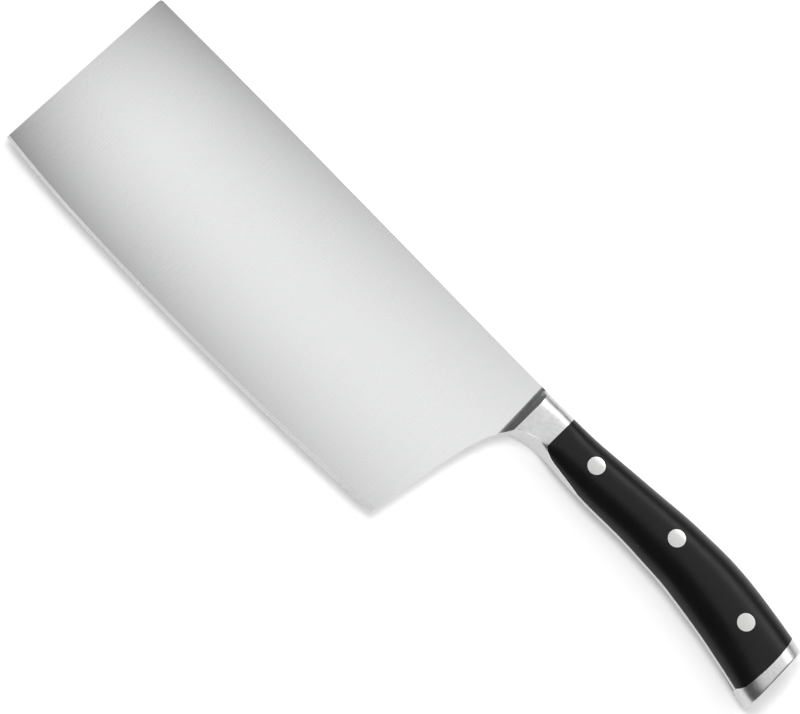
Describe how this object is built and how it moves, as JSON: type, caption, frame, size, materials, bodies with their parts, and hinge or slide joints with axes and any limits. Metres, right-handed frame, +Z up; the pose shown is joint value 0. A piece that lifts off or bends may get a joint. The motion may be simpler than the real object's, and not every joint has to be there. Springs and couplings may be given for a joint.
{
  "type": "chinese cleaver",
  "caption": "Broad rectangular kitchen cleaver for slicing and chopping: flat-ground steel blade, coved bolster, full tang and curved black riveted scales.",
  "frame": {"origin": "middle of the knife's length and depth, on the surface that it lies on, level with the lowest point of its right side", "axes": "+X from the blade's front edge towards the butt, +Y from the cutting edge towards the spine, +Z up, square to the blade, out of its left side"},
  "size_m": [0.3204, 0.0828, 0.02],
  "materials": {
    "blade_steel": "fine satin grind across the blade's faces, brighter bevel, polished bolster and butt",
    "scale_plastic": "black hard plastic, satin, with a very fine grain",
    "rivet_steel": "polished, ground flush with the scales"
  },
  "bodies": {
    "root": {"blade_and_tang": "blade_steel", "left_scale": "scale_plastic", "right_scale": "scale_plastic", "front_rivet_socket": "rivet_steel", "front_rivet_post": "rivet_steel", "middle_rivet_socket": "rivet_steel", "middle_rivet_post": "rivet_steel", "rear_rivet_socket": "rivet_steel", "rear_rivet_post": "rivet_steel"}
  },
  "joints": []
}
